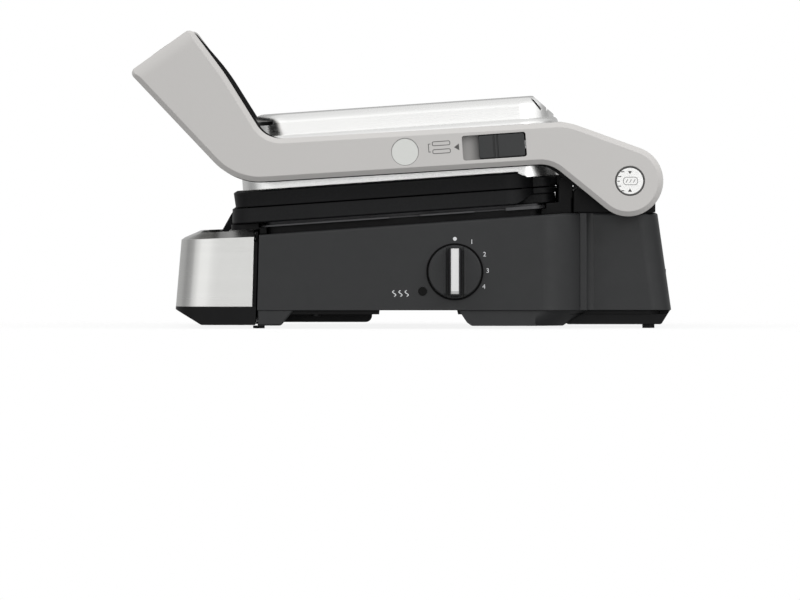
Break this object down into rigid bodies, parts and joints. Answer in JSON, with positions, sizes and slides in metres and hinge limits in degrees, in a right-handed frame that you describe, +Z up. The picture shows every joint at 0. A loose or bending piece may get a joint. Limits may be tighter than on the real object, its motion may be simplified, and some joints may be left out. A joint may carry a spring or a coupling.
{
  "type": "contact grill",
  "caption": "Countertop contact grill with a floating steel lid in a swinging yoke handle, ribbed plates, sliding drip tray, rotary knob and push buttons.",
  "frame": {"origin": "centre of the box at the level of the feet", "axes": "+Z up, -Y towards the cook (handle and drip tray), +X the side with the rotary knob"},
  "size_m": [0.364, 0.3806, 0.2101],
  "materials": {
    "charcoal_plastic": "fine matte",
    "black_plastic": "matte",
    "warm_grey_plastic": "satin",
    "gloss_black": "gloss",
    "pale_disc": "satin",
    "brushed_steel": "brushed",
    "plate_coating": "non-stick coating on die-cast",
    "reflector_steel": "satin",
    "heater_tube": "dull",
    "pin_steel": "turned",
    "rubber": "matte",
    "circuit_board": "satin",
    "nylon": "satin",
    "lens": "gloss",
    "ring_lens": "frosted",
    "spring_steel": "bright"
  },
  "bodies": {
    "base": {"base_housing": "charcoal_plastic", "rear_housing": "charcoal_plastic", "base_pan": "black_plastic", "front_skirts": "charcoal_plastic", "rear_skirts": "charcoal_plastic", "front_feet": "rubber", "rear_feet": "rubber", "hinge_tower_right": "black_plastic", "hinge_tower_left": "black_plastic", "hinge_bushes": "nylon", "rear_wall": "black_plastic", "plate_support": "black_plastic", "lower_reflector": "reflector_steel", "lower_element": "heater_tube", "lower_plate": "plate_coating", "knob_bezel": "gloss_black", "rotary_switch": "black_plastic", "indicator_lamp": "lens", "power_board": "circuit_board", "terminal_block": "nylon", "cord_inlet": "black_plastic", "base_screws": "pin_steel"},
    "knob": {"control_knob": "charcoal_plastic", "knob_pointer": "pale_disc", "knob_shaft": "pin_steel"},
    "tray": {"drip_tray": "black_plastic", "tray_front": "brushed_steel"},
    "lower_release": {"lower_release_button": "black_plastic"},
    "arm": {"right_arm": "warm_grey_plastic", "left_arm": "warm_grey_plastic", "right_arm_cover": "black_plastic", "left_arm_cover": "black_plastic", "arm_screws": "pin_steel", "hinge_pins": "pin_steel", "float_pins": "pin_steel", "hinge_badges": "brushed_steel", "badge_rings": "gloss_black", "pivot_discs": "pale_disc", "handle_shell": "warm_grey_plastic", "handle_cover": "black_plastic", "control_panel": "gloss_black", "status_ring": "ring_lens", "panel_board": "circuit_board", "latch_spring": "spring_steel"},
    "latch": {"latch_slider": "charcoal_plastic", "latch_link": "pin_steel"},
    "lid": {"lid_cover": "brushed_steel", "lid_frame": "black_plastic", "upper_reflector": "reflector_steel", "upper_element": "heater_tube", "upper_plate": "plate_coating"},
    "upper_release": {"upper_release_button": "black_plastic"},
    "power_button_body": {"power_button": "gloss_black"},
    "ok_button_body": {"ok_button": "gloss_black"},
    "programme_button_1_body": {"programme_button_1": "gloss_black"},
    "programme_button_2_body": {"programme_button_2": "gloss_black"},
    "programme_button_3_body": {"programme_button_3": "gloss_black"},
    "programme_button_4_body": {"programme_button_4": "gloss_black"},
    "programme_button_5_body": {"programme_button_5": "gloss_black"}
  },
  "joints": [
    {"name": "lid_hinge", "type": "hinge", "parent": "base", "child": "arm", "pos_m": [-0.006, 0.16083, 0.104], "axis": [-1, 0, 0], "range_deg": [0, 179]},
    {"name": "lid_float", "type": "hinge", "parent": "arm", "child": "lid", "pos_m": [-0.006, 0.00221, 0.12448], "axis": [-1, 0, 0], "range_deg": [0, 3]},
    {"name": "knob_turn", "type": "hinge", "parent": "base", "child": "knob", "pos_m": [0.174, 0.03743, 0.04], "axis": [-1, 0, 0], "range_deg": [0, 118]},
    {"name": "tray_slide", "type": "slide", "parent": "base", "child": "tray", "axis": [0, -1, 0], "range_m": [0, 0.14]},
    {"name": "latch_slide", "type": "slide", "parent": "arm", "child": "latch", "axis": [0, -0.9976, -0.0698], "range_m": [0, 0.011], "stiffness_N_per_m": 250, "springref_m": -0.004},
    {"name": "lower_release_press", "type": "slide", "parent": "base", "child": "lower_release", "axis": [1, 0, 0], "range_m": [0, 0.003], "stiffness_N_per_m": 600, "springref_m": -0.001},
    {"name": "upper_release_press", "type": "slide", "parent": "lid", "child": "upper_release", "axis": [0, 0.9976, 0.0698], "range_m": [0, 0.003], "stiffness_N_per_m": 600, "springref_m": -0.001},
    {"name": "power_button_press", "type": "slide", "parent": "arm", "child": "power_button_body", "axis": [0, 0.5807, -0.8141], "range_m": [0, 0.001], "stiffness_N_per_m": 500, "springref_m": -0.0006},
    {"name": "ok_button_press", "type": "slide", "parent": "arm", "child": "ok_button_body", "axis": [0, 0.5807, -0.8141], "range_m": [0, 0.001], "stiffness_N_per_m": 500, "springref_m": -0.0006},
    {"name": "programme_button_1_press", "type": "slide", "parent": "arm", "child": "programme_button_1_body", "axis": [0, 0.5807, -0.8141], "range_m": [0, 0.001], "stiffness_N_per_m": 500, "springref_m": -0.0006},
    {"name": "programme_button_2_press", "type": "slide", "parent": "arm", "child": "programme_button_2_body", "axis": [0, 0.5807, -0.8141], "range_m": [0, 0.001], "stiffness_N_per_m": 500, "springref_m": -0.0006},
    {"name": "programme_button_3_press", "type": "slide", "parent": "arm", "child": "programme_button_3_body", "axis": [0, 0.5807, -0.8141], "range_m": [0, 0.001], "stiffness_N_per_m": 500, "springref_m": -0.0006},
    {"name": "programme_button_4_press", "type": "slide", "parent": "arm", "child": "programme_button_4_body", "axis": [0, 0.5807, -0.8141], "range_m": [0, 0.001], "stiffness_N_per_m": 500, "springref_m": -0.0006},
    {"name": "programme_button_5_press", "type": "slide", "parent": "arm", "child": "programme_button_5_body", "axis": [0, 0.5807, -0.8141], "range_m": [0, 0.001], "stiffness_N_per_m": 500, "springref_m": -0.0006}
  ],
  "couplings": [
    {"joint": "lid_float", "follows": "lid_hinge", "ratio": 0.01676}
  ]
}
